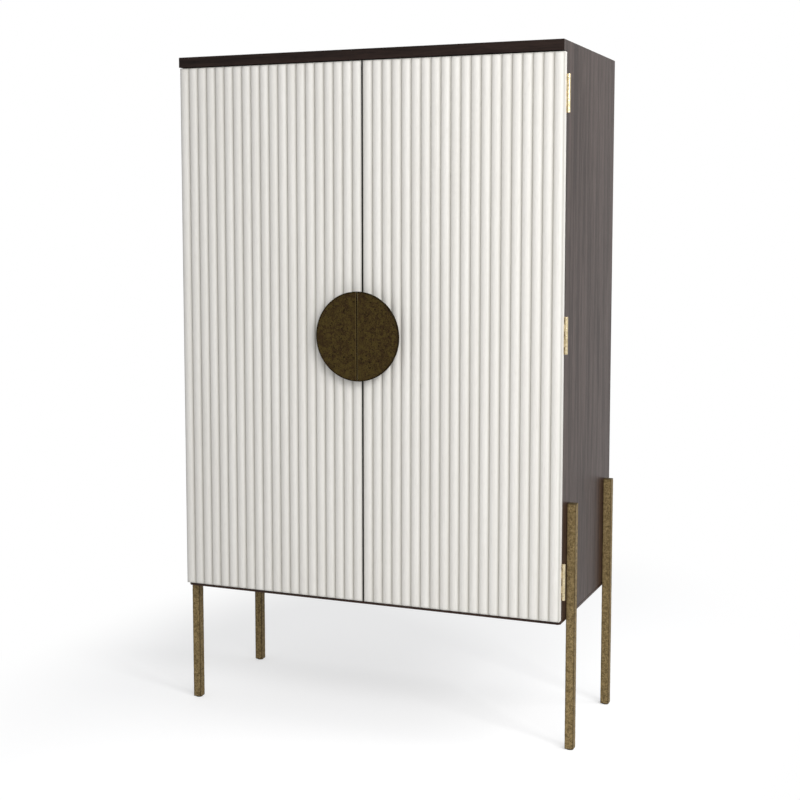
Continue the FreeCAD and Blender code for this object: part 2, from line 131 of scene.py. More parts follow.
class ArmoireFinishes(bpy.types.PropertyGroup):
    """Colours of the finishes."""
    paint: colour("Door paint", "Cream paint of the doors", 242, 239, 233)
    paint_grain: colour("Paint grain", "Cream paint where the grain shows through", 226, 222, 214)
    # Painted shade: the paint deep in the grooves is darker, partly because it is duller paint and partly as
    # the shade that falls in the grooves.
    paint_groove: colour("Paint groove", "Cream paint deep in the grooves", 192, 189, 181)
    # Painted shade: a dark tone on the edges where the doors meet, standing in for the shadow in the seam
    # between them.
    paint_edge: colour("Door edge", "Stain on the edges where the doors meet", 34, 28, 23)
    # Painted shade: the top is stained as a darker copy of the same oak as the sides, so that its front shows
    # the shade it stands in.
    top_dark: colour("Top wood, dark", "Late wood of the stained top", 21, 14, 12)
    top_light: colour("Top wood, light", "Early wood of the stained top", 44, 32, 27)
    side_dark: colour("Side wood, dark", "Late wood of the stained sides and base", 40, 27, 22)
    side_light: colour("Side wood, light", "Early wood of the stained sides and base", 70, 50, 42)
    inner_dark: colour("Inner wood, dark", "Late wood of the inner boards", 34, 24, 19)
    inner_light: colour("Inner wood, light", "Early wood of the inner boards", 66, 49, 40)
    bronze: colour("Bronze", "Olive bronze of the handles", 76, 64, 33)
    bronze_brown: colour("Bronze, brown", "Brown patina of the handles", 51, 37, 24)
    # Patina in the handles' pits, and painted shade at their rims and on the wall inside the slit between the
    # plates.
    bronze_dark: colour("Bronze, dark", "Patina at the handles' rims and pits", 24, 18, 9)
    # Painted highlight: a lighter bronze along the handles' straight edges, partly wear and partly the
    # highlight of the rounded edge.
    bronze_worn: colour("Bronze, worn", "Bronze rubbed bare along the straight edges", 112, 97, 62)
    brass: colour("Leg brass", "Antique brass of the legs", 164, 142, 99)
    brass_dull: colour("Leg brass, dull", "Dulled brass of the legs", 102, 85, 55)
    # Patina in the legs' pits, and at their edges and ends partly patina and partly painted shade.
    brass_dark: colour("Leg brass, dark", "Patina at the legs' edges and pits", 46, 37, 22)
    hinge: colour("Hinge brass", "Bright brass of the hinges", 223, 208, 174)
    hinge_dull: colour("Hinge brass, dull", "Handled brass of the hinges", 189, 174, 138)
    steel: colour("Steel", "Strike plates, catch poles and bolt heads", 168, 168, 166)
    plastic: colour("Black plastic", "Catches, glides and caps", 26, 25, 25)


class ArmoireStudio(bpy.types.PropertyGroup):
    """Floor, light and camera."""
    floor: colour("Floor", "Pale studio floor", 204, 204, 204)
    lift: FloatProperty(name="Floor lift", description="White added to the floor where it is seen",
                        default=0.52, min=0)
    fill: colour("Fill", "Light that comes from all round", 175, 176, 178)
    lamp_aim: spot("Lamp aim", "What the lamps point at", 0.1, -0.2, 0.9)
    key_power: wattage("Key power", "Power of the large lamp in front", 62)
    key_size: length("Key size", "Side of the large lamp in front", 1.8)
    key_place: spot("Key place", "Where the large lamp in front hangs", 1.95, -2.6, 2.05)
    side_power: wattage("Side power", "Power of the lamp at the right", 22)
    side_size: length("Side size", "Side of the lamp at the right", 1.5)
    side_place: spot("Side place", "Where the lamp at the right hangs", 2.4, 0.35, 2.8)
    floor_lamp_power: wattage("Floor lamp power", "Power of the lamp that lights only the floor", 40)
    floor_lamp_size: length("Floor lamp size", "Side of the lamp that lights only the floor", 0.75)
    floor_lamp_place: spot("Floor lamp place", "Where the lamp of the floor hangs", 2.7, -1.45, 1.8)
    lens: FloatProperty(name="Lens", description="Focal length in millimetres", default=63.79, min=1)
    shift: FloatProperty(name="Lens shift", description="Upward shift as a share of the picture",
                         default=-0.0551)
    tilt: angle("Tilt", "Camera tilt from level", -5.4)
    turn: angle("Turn", "Camera turn from square on", 22.1)
    stand: spot("Camera place", "Where the camera stands", 1.3996, -3.4251, 1.2841)


# ---------------------------------------------------------------- surfaces

def closed_slab(front, back):
    """Two sheets of points on the same grid, joined by walls along their four edges: points and
    four-sided faces."""
    rows, columns = front.shape[:2]
    index = np.arange(rows * columns).reshape(rows, columns)
    corners = (index[:-1, :-1], index[:-1, 1:], index[1:, 1:], index[1:, :-1])
    sheet = np.stack(corners, axis=-1).reshape(-1, 4)
    rim = np.concatenate([index[0, :-1], index[:-1, -1], index[-1, :0:-1], index[:0:-1, 0]])
    after = np.roll(rim, -1)
    wall = np.stack([rim, rim + index.size, after + index.size, after], axis=-1)
    points = np.concatenate([front.reshape(-1, 3), back.reshape(-1, 3)])
    return points, np.concatenate([sheet, sheet[:, ::-1] + index.size, wall])


def capped_tube(rings, first, last):
    """Rings of points one after another, each closed on itself, with a point that closes either end.
    The end triangles repeat their last corner, so that all faces lie in one array of four columns."""
    count, around = rings.shape[:2]
    index = np.arange(count * around).reshape(count, around)
    beside = np.roll(index, -1, axis=1)
    tube = np.stack([index[:-1], beside[:-1], beside[1:], index[1:]], axis=-1).reshape(-1, 4)
    foot, head = np.full(around, index.size), np.full(around, index.size + 1)
    ends = np.concatenate([np.stack([beside[0], index[0], foot, foot], axis=-1),
                           np.stack([index[-1], beside[-1], head, head], axis=-1)])
    return np.concatenate([rings.reshape(-1, 3), [first], [last]]), np.concatenate([tube, ends])


def joined(shapes):
    """Several shapes as one: their points in a row, and their faces counted on."""
    starts = np.cumsum([0] + [len(points) for points, _ in shapes[:-1]])
    return (np.concatenate([points for points, _ in shapes]),
            np.concatenate([faces + start for (_, faces), start in zip(shapes, starts)]))


def copies(points, faces, places):
    """One shape set down at several places."""
    return joined([(points + np.array(place), faces) for place in places])


def mirrored(points, sign):
    """The points as they are for sign 1, and on the other side of the armoire for sign -1."""
    return points * np.array([sign, 1, 1])


def ripple(points, wave, seed):
    """Unevenness between 0 and 1: the sum of plane waves, each about `wave` long, that run in seeded
    directions."""
    waves, shortest, longest, swing = 11, 0.6, 1.5, 0.25
    draw = np.random.default_rng(seed)
    heading = draw.normal(size=(3, waves))
    heading *= 2 * pi / (wave * draw.uniform(shortest, longest, waves) * np.linalg.norm(heading, axis=0))
    total = np.sin(points @ heading + draw.uniform(0, 2 * pi, waves)).sum(axis=-1)
    return np.clip(0.5 + swing * total / np.sqrt(waves / 2), 0, 1)


def reeded_front(lo, hi, sizes):
    """A reeded board. Its thickness at (x, z) is web + reed(x) end(z), with web its thickness in the
    grooves. Across a reed, reed = sqrt(R^2 - s^2) - (R - depth) with s from the reed's middle and R the
    circle through groove, crown and groove. Near an end, end = sqrt(1 - (1 - t)^2) with t the distance to
    that end over the roll's length, and elsewhere 1. Gives the points, the faces and how far up the reed
    each point lies, from 0 to 1."""
    reed_steps, roll_rows, straight_rows = 18, 9, 15
    depth, half = sizes.reed_depth, (hi.x - lo.x) / sizes.reeds / 2
    radius = (half ** 2 + depth ** 2) / (2 * depth)
    spread = np.arcsin(half / radius) * np.linspace(-1, 1, reed_steps + 1)
    middles = lo.x + half * (2 * np.arange(sizes.reeds) + 1)
    x = np.append((middles[:, None] + radius * np.sin(spread[:-1])).ravel(), hi.x)
    reed = np.append(np.tile(radius * np.cos(spread[:-1]) - (radius - depth), sizes.reeds), 0)
    turn = np.linspace(0, pi / 2, roll_rows)
    roll = sizes.reed_roll * (1 - np.cos(turn))
    straight = np.linspace(lo.z + sizes.reed_roll, hi.z - sizes.reed_roll, straight_rows + 2)[1:-1]
    z = np.concatenate([lo.z + roll, straight, hi.z - roll[::-1]])
    end = np.concatenate([np.sin(turn), np.ones(straight_rows), np.sin(turn[::-1])])
    rise = end[:, None] * reed[None, :]
    grid_x, grid_z = np.meshgrid(x, z)
    front = np.stack([grid_x, lo.y + depth - rise, grid_z], axis=-1)
    back = np.stack([grid_x, np.full_like(rise, hi.y), grid_z], axis=-1)
    points, faces = closed_slab(front, back)
    return points, faces, np.concatenate([rise.ravel() / depth, np.ones(rise.size)])


def cast_bar(lo, hi, edge, relief, seed):
    """A square bar standing from lo to hi. A point p of its square becomes c + edge * (p - c) / |p - c|,
    with c the nearest point of the square drawn in by edge, which rounds the long edges; at the ends the
    same offset shrinks on a quarter circle. A ripple presses the skin in by up to relief. Gives points,
    faces and a share from 0 on the faces to 1 at the edges."""
    side_steps, end_rows, rows = 12, 5, 230
    first_turn, wave, rim_width = 0.1, 0.009, 0.0045
    middle, half = (np.array(lo) + np.array(hi)) / 2, (hi.x - lo.x) / 2
    side = half * np.sin(np.linspace(-pi / 2, pi / 2, side_steps + 1))[:-1]
    flat = np.full_like(side, half)
    square = np.concatenate([np.stack(pair, axis=-1) for pair in
                             ((side, -flat), (flat, side), (-side, flat), (-flat, -side))])
    core = np.clip(square, edge - half, half - edge)
    away = (square - core) / np.linalg.norm(square - core, axis=-1, keepdims=True)
    turn = np.linspace(first_turn, pi / 2, end_rows)
    offset = np.concatenate([np.sin(turn), np.ones(rows), np.sin(turn[::-1])])
    roll = edge * (1 - np.cos(turn))
    straight = np.linspace(lo.z + edge, hi.z - edge, rows + 2)[1:-1]
    z = np.concatenate([lo.z + roll, straight, hi.z - roll[::-1]])
    plan = core[None] + edge * offset[:, None, None] * away[None]
    upright = np.broadcast_to(z[:, None, None], plan.shape[:2] + (1,))
    rings = np.concatenate([middle[:2] + plan, upright], axis=-1)
    pressed = relief * offset[:, None] * ripple(rings, wave, seed)
    rings[..., :2] -= away[None] * pressed[..., None]
    # Partly painted shade: this share darkens the bar's long edges and its ends, partly as patina and partly
    # as shade.
    near = np.clip((np.abs(square).min(axis=-1) - half + rim_width) / rim_width, 0, 1)
    ends = np.clip(1 - np.minimum(z - lo.z, hi.z - z) / rim_width, 0, 1)
    share = np.append(np.maximum(near[None, :], ends[:, None]).ravel(), [1, 1])
    poles = [np.append(middle[:2], height) for height in (lo.z, hi.z)]
    return (*capped_tube(rings, *poles), share)


def half_disc_outline(gap, radius):
    """A D in the plane of the door: an arc about the origin, closed by a straight edge that stands gap
    from it."""
    opening = acos(gap / radius)
    around = np.linspace(-opening, opening, ARC_POINTS)
    straight = radius * np.sin(opening) * np.linspace(1, -1, CHORD_POINTS + 2)[1:-1]
    return np.concatenate([radius * np.stack([np.cos(around), np.sin(around)], axis=-1),
                           np.stack([np.full(CHORD_POINTS, gap), straight], axis=-1)])


def half_disc_plate(lo, hi, gap, edge, relief, seed):
    """A half-disc plate. Its D outline is drawn in to a middle point over the front and the back, and
    between them it goes round the rim: inner + sin(a) (outer - inner) in plan while the depth falls by
    edge (1 - cos(a)). A ripple presses the front in by up to relief. Gives points, faces, a share that is
    1 at the rim's arc and inside the slit, and a share that is 1 along the straight edge."""
    face_rings, rim_rings, middle_share = 44, 5, 0.45
    wave, rim_width = 0.012, 0.005
    radius, height = hi.x, (lo.z + hi.z) / 2
    outer, inner = half_disc_outline(gap, radius), half_disc_outline(gap + edge, radius - edge)
    centre = np.array([radius * middle_share, 0])
    share = np.linspace(1 / face_rings, 1, face_rings)
    rim = np.linspace(0, pi / 2, rim_rings + 1)[1:]
    face = centre + share[:, None, None] * (inner - centre)[None]
    edge_rings = inner[None] + np.sin(rim)[:, None, None] * (outer - inner)[None]
    back = [inner[None], face[face_rings // 2][None]]
    plan = np.concatenate([face, edge_rings, edge_rings[::-1], *back])
    fall = edge * (1 - np.cos(rim))
    depth = np.concatenate([np.full(face_rings, lo.y), lo.y + fall, hi.y - fall[::-1],
                            np.full(len(back), hi.y)])
    depth = np.broadcast_to(depth[:, None], plan.shape[:2])
    rings = np.stack([plan[..., 0], depth, height + plan[..., 1]], axis=-1)
    from_rim = (1 - share[:, None]) * np.linalg.norm(inner - centre, axis=-1)[None]
    inside = np.clip(from_rim / rim_width, 0, 1)
    rings[:face_rings, :, 1] += relief * inside * ripple(rings[:face_rings], wave, seed)
    # Painted shade: this share darkens the rim round the arc, partly as patina, and the rim and wall inside
    # the slit, where shade falls; the front along the straight edge stays light.
    near = np.ones(plan.shape[:2])
    near[:face_rings] = 1 - inside
    near[-1] = 0
    near[:face_rings, ARC_POINTS:] = 0
    # Painted highlight: this share lightens the front edge along the straight edge, partly as wear and partly
    # as a painted highlight.
    worn = np.zeros(plan.shape[:2])
    worn[face_rings - 1, ARC_POINTS:] = 1
    poles = [np.array([centre[0], y, height]) for y in (lo.y + relief / 2, hi.y)]
    at_poles = [0, 0]
    return (*capped_tube(rings, *poles), np.append(near.ravel(), at_poles), np.append(worn.ravel(), at_poles))


def upright_plane(facing):
    """The unit direction that a fastener faces, and two more across it: upward and level."""
    normal, up = np.array(facing, float), np.array([0, 0, 1.0])
    return normal, up, np.cross(normal, up)


def slotted_head(radius, base, rise, sunk, facing, turn):
    """A slotted screw head on a square grid (u, v) bent into a disc: a = u sqrt(1 - v^2 / 2),
    b = v sqrt(1 - u^2 / 2). It stands base + rise (1 - u^2)(1 - v^2) proud of its seat, and half of base
    in the slot, where |v| is small; its skirt goes sunk below the seat. The disc is turned by turn and
    looks along facing."""
    slot, foot, steps = 0.16, 0.14, 9
    rows = np.array([-1, -0.8, -0.5, -slot, -foot, foot, slot, 0.5, 0.8, 1])
    u, v = np.meshgrid(np.linspace(-1, 1, steps), rows)
    a, b = u * np.sqrt(1 - v ** 2 / 2), v * np.sqrt(1 - u ** 2 / 2)
    proud = np.where(np.abs(v) <= foot, base / 2, base + rise * (1 - u ** 2) * (1 - v ** 2))
    normal, up, level = upright_plane(facing)
    along = np.cos(turn) * up + np.sin(turn) * level
    across = np.cos(turn) * level - np.sin(turn) * up
    plan = radius * (a[..., None] * along + b[..., None] * across)
    return closed_slab(plan + proud[..., None] * normal, plan - sunk * normal)


def domed_cap(radius, rise, sunk, facing):
    """A round cap: a quarter ellipse, radius cos(a) by rise sin(a), carried round the axis, on a short
    skirt."""
    around, lift_rows = 28, 7
    turn = np.linspace(0, 2 * pi, around, endpoint=False)
    lift = np.linspace(0, pi / 2, lift_rows, endpoint=False)
    reach = np.append(radius, radius * np.cos(lift))
    proud = np.append(-sunk, rise * np.sin(lift))
    normal, up, level = upright_plane(facing)
    spoke = np.cos(turn)[:, None] * up + np.sin(turn)[:, None] * level
    rings = reach[:, None, None] * spoke[None] + proud[:, None, None] * normal
    return capped_tube(rings, -sunk * normal, rise * normal)


def put_piece(name, points, faces, body, slot, material, replaces=(), **shares):
    """A mesh object of these points and faces, turned so that the volume it encloses is positive, on its
    body. Each share is kept on its points as an attribute."""
    a, b, c, d = (points[faces[:, corner]] for corner in range(4))
    if (np.cross(a, b) * c + np.cross(a, c) * d).sum() < 0:
        faces = faces[:, ::-1]
        faces = np.where(faces[:, :1] == faces[:, 1:2], np.roll(faces, 2, axis=1), faces)
    triangle = faces[:, 2] == faces[:, 3]
    mesh = bpy.data.meshes.new(name)
    mesh.from_pydata(points.tolist(), [], faces[~triangle].tolist() + faces[triangle, :3].tolist())
    mesh.materials.append(material)
    mesh.shade_smooth()
    mesh.set_sharp_from_angle(angle=SHARP_ANGLE)
    for label, values in shares.items():
        kept = mesh.attributes.new(label, "FLOAT", "POINT")
        kept.data.foreach_set("value", values.astype(np.float32))
    piece = bpy.data.objects.new(name, mesh)
    bpy.context.scene.collection.objects.link(piece)
    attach(piece, body)
    if replaces:
        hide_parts(*replaces)


def finish_node(name, material):
    """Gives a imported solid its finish."""
    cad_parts[name].material_slots[0].material = material


# ---------------------------------------------------------------- nodes

def feed(tree, socket, value):
    """Links another node's output to a socket, or sets the socket to a plain value."""
    if isinstance(value, bpy.types.NodeSocket):
        tree.links.new(value, socket)
    else:
        socket.default_value = value


def node(tree, kind, inputs=None, **settings):
    """A new shader node with its settings made and its inputs fed."""
    made = tree.nodes.new("ShaderNode" + kind)
    for key, value in settings.items():
        setattr(made, key, value)
    for key, value in (inputs or {}).items():
        feed(tree, made.inputs[key], value)
    return made


def opaque(value):
    """A socket as it is, or a plain colour with full cover."""
    return value if isinstance(value, bpy.types.NodeSocket) else (*value, 1)


def mix(tree, share, first, second):
    """Two colours mixed by a share from 0 to 1."""
    return node(tree, "Mix", {0: share, 6: opaque(first), 7: opaque(second)}, data_type="RGBA").outputs[2]


def blend(tree, share, first, second):
    """Two values mixed by a share from 0 to 1."""
    return node(tree, "Mix", {0: share, 2: first, 3: second}).outputs[0]


def band(tree, value, low, high, start=0.0, stop=1.0):
    """A smooth step: start where the value is under low, stop where it is over high."""
    return node(tree, "MapRange", {"Value": value, 1: low, 2: high, 3: start, 4: stop},
                interpolation_type="SMOOTHSTEP").outputs[0]


def combine(tree, operation, *values):
    """What one operation of a Math node makes of one or two values."""
    return node(tree, "Math", dict(enumerate(values)), operation=operation).outputs[0]


def noise(tree, vector, scale, detail, roughness=0.5, distortion=0.0):
    """Noise about 0.5 on these coordinates."""
    return node(tree, "TexNoise", {"Vector": vector, "Scale": scale, "Detail": detail,
                                   "Roughness": roughness, "Distortion": distortion}).outputs[0]


def attribute(tree, name):
    """A share that the piece keeps on its points."""
    return node(tree, "Attribute", attribute_name=name).outputs["Fac"]


def coordinates(tree):
    """Object coordinates, which are metres of the shared frame at rest."""
    return node(tree, "TexCoord").outputs["Object"]


def along(tree, axis):
    """Object coordinates along one axis."""
    return node(tree, "SeparateXYZ", {0: coordinates(tree)}).outputs[axis]


def from_middle(tree):
    """How far a point stands to either side of the armoire's middle."""
    return combine(tree, "ABSOLUTE", along(tree, "X"))


def stretched(tree, scale):
    """Object coordinates scaled along each axis."""
    return node(tree, "Mapping", {"Vector": coordinates(tree), "Scale": scale}).outputs["Vector"]


def shared(tree, build, outputs, vector):
    """Places a node group with a Vector going in. It is made once and named after its builder, which
    gives one socket for each of the outputs."""
    group = bpy.data.node_groups.get(build.__name__)
    if group is None:
        group = bpy.data.node_groups.new(build.__name__, "ShaderNodeTree")
        group.interface.new_socket("Vector", in_out="INPUT", socket_type="NodeSocketVector")
        for label in outputs:
            group.interface.new_socket(label, in_out="OUTPUT", socket_type="NodeSocketFloat")
        made = build(group, group.nodes.new("NodeGroupInput").outputs["Vector"])
        result = group.nodes.new("NodeGroupOutput")
        for label, socket in zip(outputs, made):
            group.links.new(socket, result.inputs[label])
    return node(tree, "Group", {"Vector": vector}, node_tree=group).outputs


def open_grain(tree, vector):
    """Oak on coordinates stretched along the grain: broad figure with fine streaks, open pores, and the
    height of its skin."""
    streak_share = 0.45
    figure = noise(tree, vector, scale=1.0, detail=4.0, roughness=0.55, distortion=0.7)
    streak = noise(tree, vector, scale=9.0, detail=3.0, roughness=0.6, distortion=0.2)
    pores = noise(tree, vector, scale=26.0, detail=2.0, distortion=0.1)
    pores = band(tree, pores, low=0.56, high=0.68)
    figure = band(tree, blend(tree, streak_share, figure, streak), low=0.34, high=0.66)
    return figure, pores, combine(tree, "SUBTRACT", streak, pores)


def patina(tree, vector):
    """Aged metal on coordinates scaled to its mottling: clouds of tone, dark pits, and the height of its
    skin."""
    grit_share = 0.45
    cloud = noise(tree, vector, scale=1.0, detail=5.0, roughness=0.62, distortion=0.5)
    grit = noise(tree, vector, scale=3.7, detail=3.0, roughness=0.6, distortion=0.3)
    pits = noise(tree, vector, scale=2.3, detail=4.0, roughness=0.65, distortion=0.8)
    pits = band(tree, pits, low=0.54, high=0.66)
    cloud = band(tree, blend(tree, grit_share, cloud, grit), low=0.38, high=0.62)
    return cloud, pits, combine(tree, "SUBTRACT", grit, pits)


def grain_of(tree, vector):
    """The oak's grain: its Figure, its Pores and its Height."""
    return shared(tree, open_grain, ("Figure", "Pores", "Height"), vector)


# ---------------------------------------------------------------- finishes

def new_finish(name, scale):
    """A material, its tree, its shader and Object coordinates scaled along each axis."""
    material = bpy.data.materials.new(name)
    material.use_nodes = True
    tree = material.node_tree
    return material, tree, tree.nodes["Principled BSDF"], stretched(tree, scale)


def bumped(tree, shader, height, distance, strength):
    """Tilts the shader's normal as a skin would that rises by distance where the height goes from 0 to 1."""
    bump = node(tree, "Bump", {"Height": height, "Distance": distance, "Strength": strength})
    tree.links.new(bump.outputs["Normal"], shader.inputs["Normal"])


def grain_scale(axis):
    """Across the grain a figure is about 24 mm wide, and along it about 600 mm long."""
    along_grain, across_grain = 1.6, 42.0
    return [along_grain if axis == letter else across_grain for letter in "xyz"]


def stained(tree, vector, dark, light, rough):
    """Oak on coordinates stretched along its grain: its tone, its roughness and the height of its skin."""
    pore_shade, pore_share, sheen = 0.45, 0.7, 0.08
    grain = grain_of(tree, vector)
    wood = mix(tree, grain["Figure"], dark, light)
    pores = combine(tree, "MULTIPLY", grain["Pores"], pore_share)
    tone = mix(tree, pores, wood, [pore_shade * channel for channel in dark])
    return tone, band(tree, grain["Figure"], 0.0, 1.0, rough, rough - sheen), grain["Height"]


def wood_finish(name, axis, stain, ends=None):
    """Stained oak: figure between two tones, darker pores, and a sheen that the late wood dulls. ends
    gives the stain of an upright veneer over the board's two ends, and how far from the middle they
    stand."""
    veneer_from, veneer_full = 0.0006, 0.0002
    material, tree, shader, vector = new_finish(f"{name}_{axis}", grain_scale(axis))
    tone, rough, height = stained(tree, vector, *stain)
    if ends is not None:
        end_stain, reach = ends
        end_tone, end_rough, end_height = stained(tree, stretched(tree, grain_scale("z")), *end_stain)
        share = band(tree, from_middle(tree), reach - veneer_from, reach - veneer_full)
        tone = mix(tree, share, tone, end_tone)
        rough = blend(tree, share, rough, end_rough)
        height = blend(tree, share, height, end_height)
    feed(tree, shader.inputs["Base Color"], tone)
    feed(tree, shader.inputs["Roughness"], rough)
    shader.inputs["Specular IOR Level"].default_value = 0.14
    bumped(tree, shader, height, distance=0.0002, strength=0.2)
    return material


def paint_finish(name, finishes, grooved, meeting):
    """Cream paint over open-pored wood: faint grain along the door, fine pores, paint in the grooves that is
    duller and darkened with painted shade, and painted shade on the edges where the doors meet, which stand
    meeting from the middle."""
    figure_share, pore_share, groove_top = 0.5, 0.6, 0.75
    seam_shade_full, seam_shade_end = 0.0003, 0.0009
    material, tree, shader, vector = new_finish(name, grain_scale("z"))
    grain = grain_of(tree, vector)
    figure = combine(tree, "MULTIPLY", grain["Figure"], figure_share)
    tone = mix(tree, figure, finishes.paint, finishes.paint_grain)
    pores = combine(tree, "MULTIPLY", grain["Pores"], pore_share)
    tone = mix(tree, pores, tone, finishes.paint_grain)
    # Painted shade: the paint darkens into the grooves, partly as duller paint and partly as the shade that
    # falls there.
    if grooved:
        groove_shade = band(tree, attribute(tree, "reed_height"), 0.0, groove_top, start=1.0, stop=0.0)
        tone = mix(tree, groove_shade, tone, finishes.paint_groove)
    # Painted shade: the edges where the doors meet are darkened as the seam's shadow.
    edge = band(tree, from_middle(tree), meeting + seam_shade_full, meeting + seam_shade_end, start=1.0, stop=0.0)
    tone = mix(tree, edge, tone, finishes.paint_edge)
    feed(tree, shader.inputs["Base Color"], tone)
    feed(tree, shader.inputs["Roughness"], band(tree, grain["Figure"], 0.0, 1.0, start=0.5, stop=0.6))
    shader.inputs["Specular IOR Level"].default_value = 0.3
    bumped(tree, shader, grain["Height"], distance=0.0002, strength=0.3)
    return material


def aged_metal(name, tones, dark, scale, metallic, rough, relief, edged=False, worn=None):
    """Aged metal: two tones in clouds, dark pits, a dark rim where the piece gives its nearness to an edge,
    partly patina and partly painted shade, and a lighter worn tone where the piece gives it, partly wear and
    partly a painted highlight."""
    pit_share, pit_rough, rim_from, rim_share = 0.75, 0.25, 0.2, 0.7
    material, tree, shader, vector = new_finish(name, (scale, scale, scale))
    skin = shared(tree, patina, ("Cloud", "Pits", "Height"), vector)
    tone = mix(tree, skin["Cloud"], *tones)
    tone = mix(tree, combine(tree, "MULTIPLY", skin["Pits"], pit_share), tone, dark)
    # Partly painted shade: the tone darkens towards the edges that the piece marks.
    if edged:
        rim = band(tree, attribute(tree, "edge_share"), rim_from, 1.0, start=0.0, stop=rim_share)
        tone = mix(tree, rim, tone, dark)
    # Painted highlight: the worn tone lightens the straight edge, partly as wear and partly as a painted
    # highlight.
    if worn is not None:
        tone = mix(tree, attribute(tree, "worn_share"), tone, worn)
    feed(tree, shader.inputs["Base Color"], tone)
    feed(tree, shader.inputs["Roughness"], band(tree, skin["Pits"], 0.0, 1.0, rough, rough + pit_rough))
    shader.inputs["Metallic"].default_value = metallic
    shader.inputs["Specular IOR Level"].default_value = 0.1
    bumped(tree, shader, skin["Height"], distance=relief, strength=0.6)
    return material


def steel_finish(finishes):
    """Steel brushed along the door, made once: streaks in its roughness and slighter ones in its tone."""
    worn_shade, streak = 0.72, {"low": 0.3, "high": 0.7}
    material = bpy.data.materials.get("steel_finish")
    if material is None:
        material, tree, shader, vector = new_finish("steel_finish", (30.0, 900.0, 900.0))
        brushed = noise(tree, vector, scale=1.0, detail=3.0)
        worn = [worn_shade * channel for channel in finishes.steel]
        tone = mix(tree, band(tree, brushed, **streak), finishes.steel, worn)
        feed(tree, shader.inputs["Base Color"], tone)
        feed(tree, shader.inputs["Roughness"], band(tree, brushed, **streak, start=0.25, stop=0.45))
        shader.inputs["Metallic"].default_value = 1.0
        bumped(tree, shader, brushed, distance=0.00003, strength=0.4)
    return material


def plastic_finish(name, finishes, poles_at=None):
    """Black plastic with a fine moulded grain; poles_at gives the depth in front of which a catch shows
    its steel poles."""
    dust_tone, pole_edge = 0.012, 0.0001
    material, tree, shader, vector = new_finish(name, (1400.0, 1400.0, 1400.0))
    grain = noise(tree, vector, scale=1.0, detail=2.0)
    dust = [channel + dust_tone for channel in finishes.plastic]
    tone = mix(tree, band(tree, grain, low=0.35, high=0.75), finishes.plastic, dust)
    if poles_at is not None:
        pole = band(tree, along(tree, "Y"), poles_at - pole_edge, poles_at, start=1.0, stop=0.0)
        tone = mix(tree, pole, tone, finishes.steel)
        feed(tree, shader.inputs["Metallic"], pole)
    feed(tree, shader.inputs["Base Color"], tone)
    feed(tree, shader.inputs["Roughness"], band(tree, grain, low=0.2, high=0.8, start=0.42, stop=0.58))
    bumped(tree, shader, grain, distance=0.00004, strength=0.5)
    return material


# ---------------------------------------------------------------- operators

class ArmoireTools:
    """What the armoire's operators share: undo, and the sizes and finishes."""
    bl_options = {"REGISTER", "UNDO"}

    @property
    def sizes(self):
        return bpy.context.scene.armoire_sizes

    @property
    def finishes(self):
        return bpy.context.scene.armoire_finishes


class ARMOIRE_OT_boards(ArmoireTools, bpy.types.Operator):
    """Stain the case and the inner boards, each with its grain along the board"""
    bl_idname = "armoire.boards"
    bl_label = "Boards"

    def execute(self, context):
        tones = self.finishes
        matt, satin = 0.75, 0.44
        # Painted shade: the top's stain is a darker, shaded copy of the sides' oak, and the top's ends keep
        # the sides' stain.
        top = (tones.top_dark, tones.top_light, matt)
        side = (tones.side_dark, tones.side_light, satin)
        inner = (tones.inner_dark, tones.inner_light, satin)
        top_ends = (side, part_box("top_panel")[1].x)
        for grains, label, stain, ends in ((TOP_GRAIN, "top_wood", top, top_ends),
                                           (SIDE_GRAIN, "side_wood", side, None),
                                           (INNER_GRAIN, "inner_wood", inner, None)):
            woods = {axis: wood_finish(label, axis, stain, ends) for axis in sorted(set(grains.values()))}
            for board, axis in grains.items():
                finish_node(board, woods[axis])
        return {"FINISHED"}


class ARMOIRE_OT_doors(ArmoireTools, bpy.types.Operator):
    """Shape and paint the reeded fronts and paint the doors behind them"""
    bl_idname = "armoire.doors"
    bl_label = "Doors"

    def execute(self, context):
        lo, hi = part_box("reeded_face_right")
        reeded = paint_finish("reeded_paint", self.finishes, grooved=True, meeting=lo.x)
        plain = paint_finish("door_paint", self.finishes, grooved=False, meeting=lo.x)
        points, faces, height = reeded_front(lo, hi, self.sizes)
        for side, sign in SIDES.items():
            put_piece(f"reeded_front_{side}", mirrored(points, sign), faces, f"door_{side}", "door_wood",
                      reeded, [f"reeded_face_{side}"], reed_height=height)
            finish_node(f"door_core_{side}", plain)
        return {"FINISHED"}


